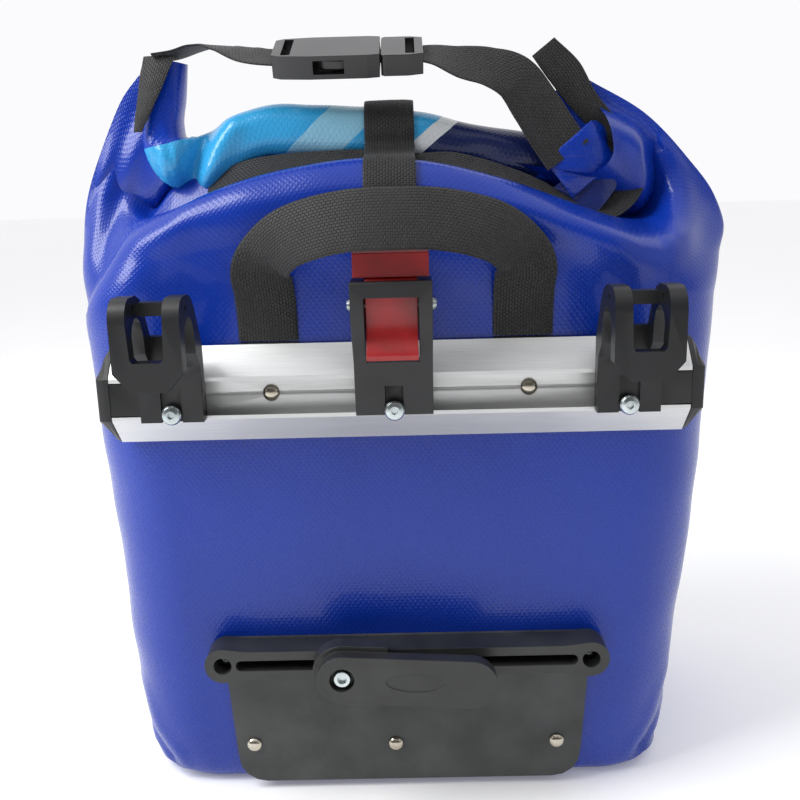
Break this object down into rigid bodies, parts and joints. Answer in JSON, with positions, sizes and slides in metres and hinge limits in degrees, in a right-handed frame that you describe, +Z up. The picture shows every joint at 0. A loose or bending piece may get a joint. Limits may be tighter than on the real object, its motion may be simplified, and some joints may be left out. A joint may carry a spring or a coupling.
{
  "type": "pannier bag",
  "caption": "Roll-top waterproof bicycle pannier with a mounting rail, clamped rack hooks, a sprung latch, a carry handle and a swinging keeper arm.",
  "frame": {"origin": "middle of the footprint, on the ground the bag stands on", "axes": "+Z up, the rack side faces -Y, +X to the right as seen from the rack side"},
  "size_m": [0.327, 0.2234, 0.3915],
  "materials": {
    "tarpaulin": "gloss coated fabric",
    "print": "gloss coated fabric, printed",
    "webbing": "woven",
    "nylon": "moulded, fine grain",
    "sheet": "matt sheet",
    "red": "moulded",
    "alloy": "extruded, brushed",
    "nickel": "nickel plated",
    "zinc": "zinc plated",
    "board": "matt board"
  },
  "bodies": {
    "bag": {"bag_shell": "tarpaulin", "roll_top": "print", "stiffener_board": "board", "mouth_band": "webbing", "mounting_rail": "alloy", "end_cap_left": "nylon", "end_cap_right": "nylon", "rail_rivet_left": "nickel", "rail_rivet_right": "nickel", "handle_anchor_left": "webbing", "handle_anchor_right": "webbing", "top_strap": "webbing", "ladder_lock": "nylon", "lock_tab": "webbing", "buckle_socket": "nylon", "closure_strap_left": "webbing", "closure_strap_right": "webbing", "lower_bar": "nylon", "bar_screw_left": "zinc", "bar_screw_right": "zinc", "wear_panel": "sheet", "panel_rivet_1": "nickel", "panel_rivet_2": "nickel", "panel_rivet_3": "nickel"},
    "left_hook": {"hook_left": "nylon", "hook_screw_left": "zinc"},
    "right_hook": {"hook_right": "nylon", "hook_screw_right": "zinc"},
    "latch": {"latch_body": "nylon", "latch_pin": "zinc", "latch_screw": "zinc"},
    "lever": {"latch_lever": "red"},
    "carriage": {"arm_bolt": "zinc", "arm_nut": "zinc"},
    "arm": {"swing_arm": "nylon"},
    "handle": {"carry_handle": "webbing"},
    "plug": {"buckle_plug": "nylon"},
    "prong_upper": {"buckle_prong_upper": "nylon"},
    "prong_lower": {"buckle_prong_lower": "nylon"}
  },
  "joints": [
    {"name": "hook_left_slide", "type": "slide", "parent": "bag", "child": "left_hook", "axis": [1, 0, 0], "range_m": [0, 0.014]},
    {"name": "hook_right_slide", "type": "slide", "parent": "bag", "child": "right_hook", "axis": [-1, 0, 0], "range_m": [0, 0.014]},
    {"name": "latch_slide", "type": "slide", "parent": "bag", "child": "latch", "axis": [1, 0, 0], "range_m": [-0.006, 0.006]},
    {"name": "latch_lever_turn", "type": "hinge", "parent": "latch", "child": "lever", "pos_m": [-0.0025, -0.0821, 0.2655], "axis": [-1, 0, 0], "range_deg": [0, 22], "stiffness_Nm_per_rad": 0.15, "springref_deg": -5.73},
    {"name": "arm_slide", "type": "slide", "parent": "bag", "child": "carriage", "axis": [1, 0, 0], "range_m": [-0.0515, 0.115]},
    {"name": "arm_swing", "type": "hinge", "parent": "carriage", "child": "arm", "pos_m": [-0.0318, -0.0885, 0.0824], "axis": [0, 1, 0], "continuous": true},
    {"name": "handle_swing", "type": "hinge", "parent": "bag", "child": "handle", "pos_m": [-0.0015, -0.05915, 0.2463], "axis": [1, 0, 0], "range_deg": [0, 60], "stiffness_Nm_per_rad": 0.12},
    {"name": "buckle_release", "type": "slide", "parent": "bag", "child": "plug", "axis": [1, 0, 0], "range_m": [0, 0.034], "deforming": ["closure_strap_right"]},
    {"name": "prong_upper_squeeze", "type": "hinge", "parent": "plug", "child": "prong_upper", "pos_m": [-0.0058, -0.01188, 0.38366], "axis": [0, -0.4067, 0.9135], "range_deg": [0, 6], "stiffness_Nm_per_rad": 0.2},
    {"name": "prong_lower_squeeze", "type": "hinge", "parent": "plug", "child": "prong_lower", "pos_m": [-0.0058, -0.02832, 0.37634], "axis": [0, -0.4067, 0.9135], "range_deg": [-6, 0], "stiffness_Nm_per_rad": 0.2}
  ],
  "couplings": [
    {"joint": "prong_lower_squeeze", "follows": "prong_upper_squeeze", "ratio": -1}
  ]
}
